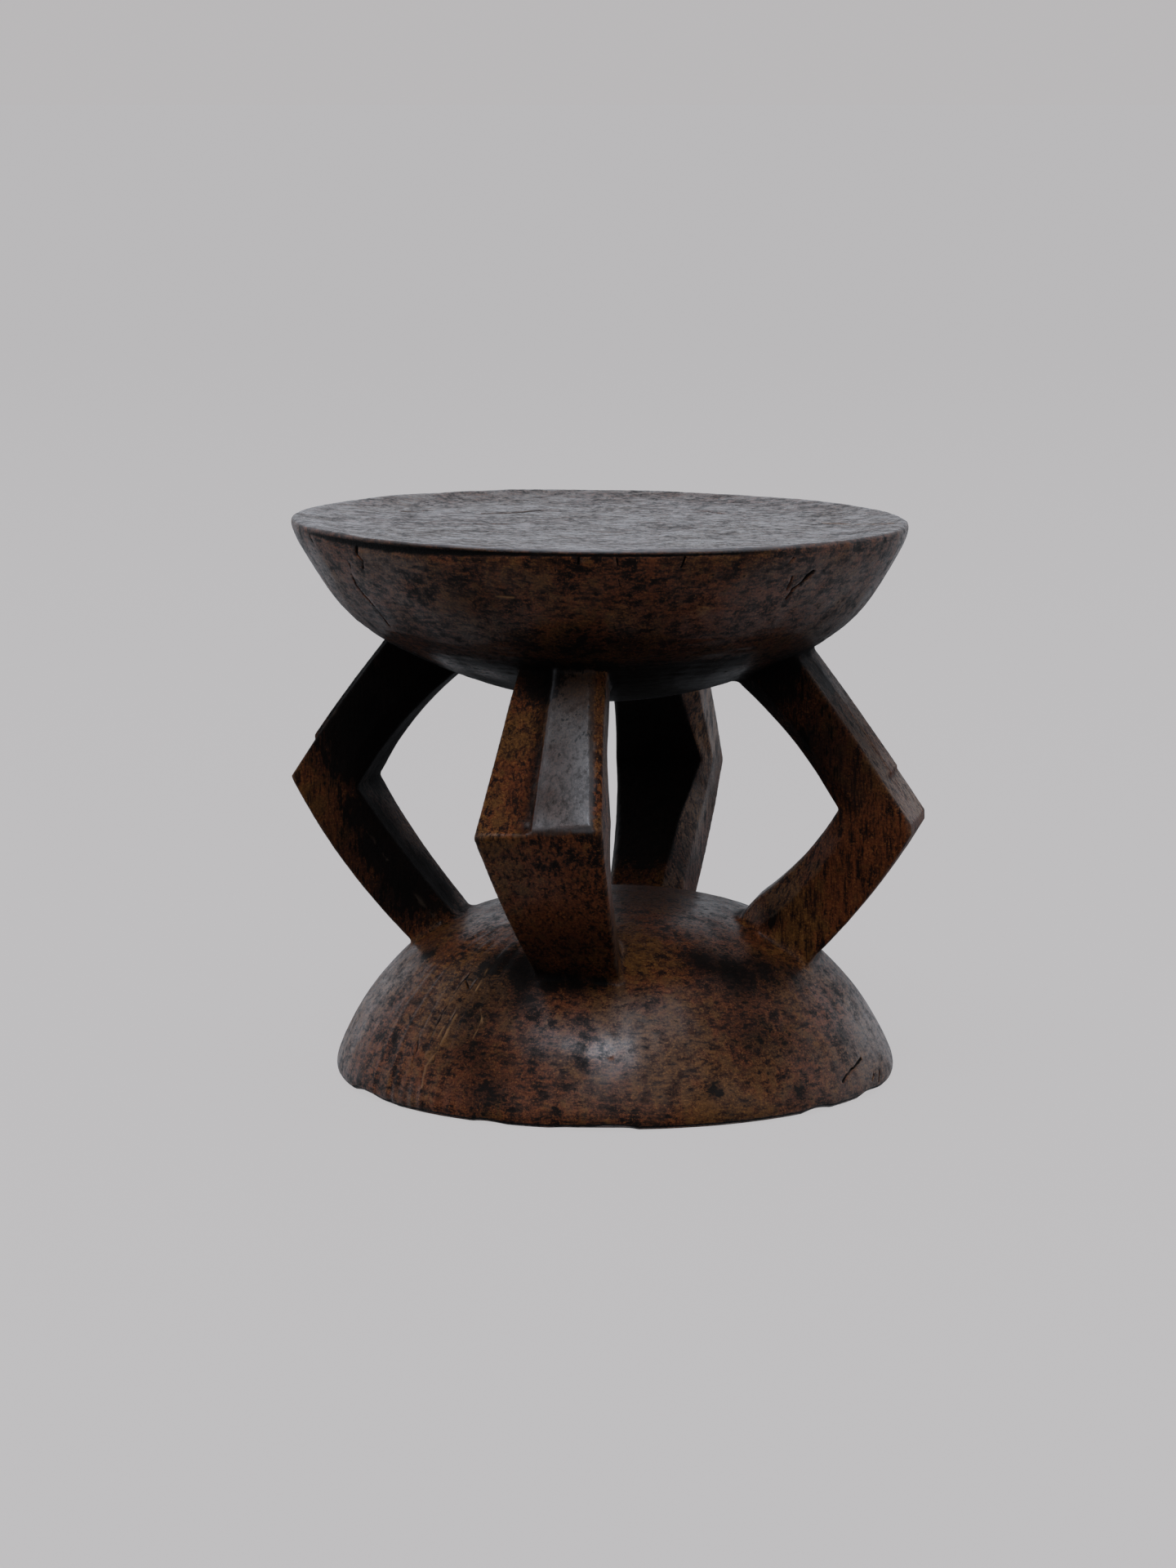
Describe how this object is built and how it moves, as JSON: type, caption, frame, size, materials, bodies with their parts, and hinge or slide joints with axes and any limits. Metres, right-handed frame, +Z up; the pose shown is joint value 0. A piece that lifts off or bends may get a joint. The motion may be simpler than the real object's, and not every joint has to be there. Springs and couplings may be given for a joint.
{
  "type": "carved wooden stool",
  "caption": "Stool carved from one block of wood: a round, bowl-shaped seat with a lightly dished top, on bent legs that stand on a broad dome.",
  "frame": {"origin": "middle of the flat underside, where the stool stands on the floor", "axes": "+Z up out of the floor; -Y towards the side that the picture shows, +X to its right"},
  "size_m": [0.3819, 0.3809, 0.3355],
  "materials": {
    "wood": "dark worn patina, satin, reddish brown where rubbed"
  },
  "bodies": {
    "root": {"stool": "wood"}
  },
  "joints": []
}
